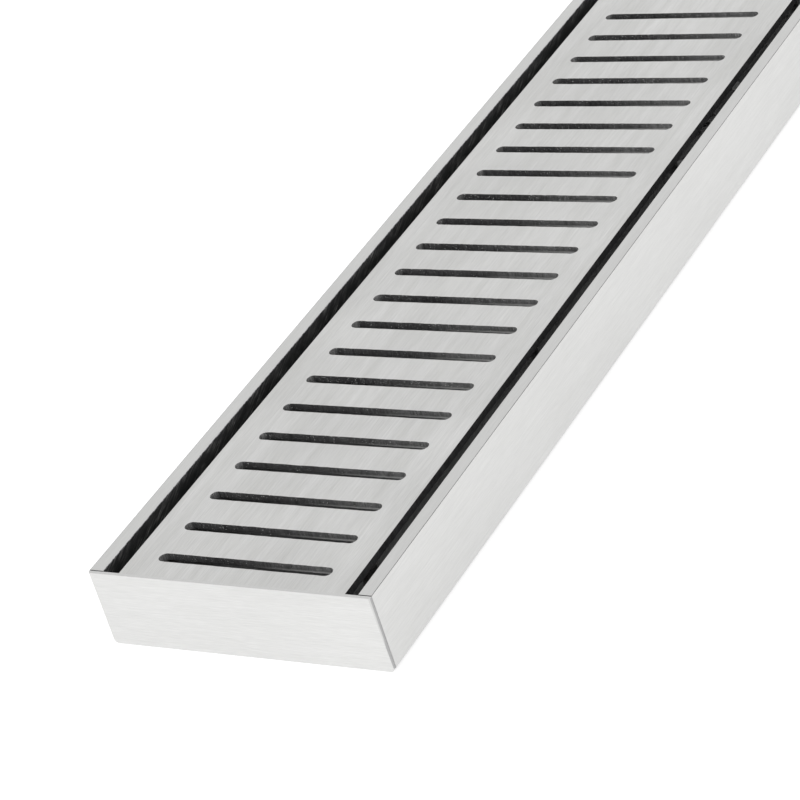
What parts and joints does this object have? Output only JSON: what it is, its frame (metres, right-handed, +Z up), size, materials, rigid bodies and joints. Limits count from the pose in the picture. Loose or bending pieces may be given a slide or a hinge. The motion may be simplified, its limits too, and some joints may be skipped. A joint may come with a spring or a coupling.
{
  "type": "linear floor drain",
  "caption": "Shallow open channel drain for a floor, in brushed stainless steel, with a slotted grate that lifts out and a middle outlet with a strainer.",
  "frame": {"origin": "middle of the drain's length and width, in the plane that the channel's base lies on", "axes": "+X across the channel to its right side, +Y along the channel from the near end to the far end, +Z up out of the floor"},
  "size_m": [0.1, 0.6, 0.027],
  "materials": {
    "brushed_stainless": "stainless steel sheet, belt-brushed along its length",
    "plain_stainless": "stainless steel, plain mill or turned surface",
    "rubber": "moulded black rubber, matt"
  },
  "bodies": {
    "channel": {"channel_tray": "brushed_stainless", "near_end_plate": "brushed_stainless", "far_end_plate": "brushed_stainless", "right_rim_strip": "brushed_stainless", "left_rim_strip": "brushed_stainless", "outlet_collar": "plain_stainless", "outlet_seal": "rubber"},
    "grate": {"grate_plate": "brushed_stainless", "grate_leg_left_1": "plain_stainless", "grate_leg_left_2": "plain_stainless", "grate_leg_left_3": "plain_stainless", "grate_leg_left_4": "plain_stainless", "grate_leg_left_5": "plain_stainless", "grate_leg_left_6": "plain_stainless", "grate_leg_right_1": "plain_stainless", "grate_leg_right_2": "plain_stainless", "grate_leg_right_3": "plain_stainless", "grate_leg_right_4": "plain_stainless", "grate_leg_right_5": "plain_stainless", "grate_leg_right_6": "plain_stainless", "leg_cap_left_1": "rubber", "leg_cap_left_2": "rubber", "leg_cap_left_3": "rubber", "leg_cap_left_4": "rubber", "leg_cap_left_5": "rubber", "leg_cap_left_6": "rubber", "leg_cap_right_1": "rubber", "leg_cap_right_2": "rubber", "leg_cap_right_3": "rubber", "leg_cap_right_4": "rubber", "leg_cap_right_5": "rubber", "leg_cap_right_6": "rubber"},
    "strainer": {"strainer_disc": "plain_stainless", "strainer_knob": "plain_stainless"}
  },
  "joints": [
    {"name": "grate_lift", "type": "slide", "parent": "channel", "child": "grate", "axis": [0, 0, 1], "range_m": [0, 0.06]},
    {"name": "strainer_lift", "type": "slide", "parent": "channel", "child": "strainer", "axis": [0, 0, 1], "range_m": [0, 0.01]}
  ]
}
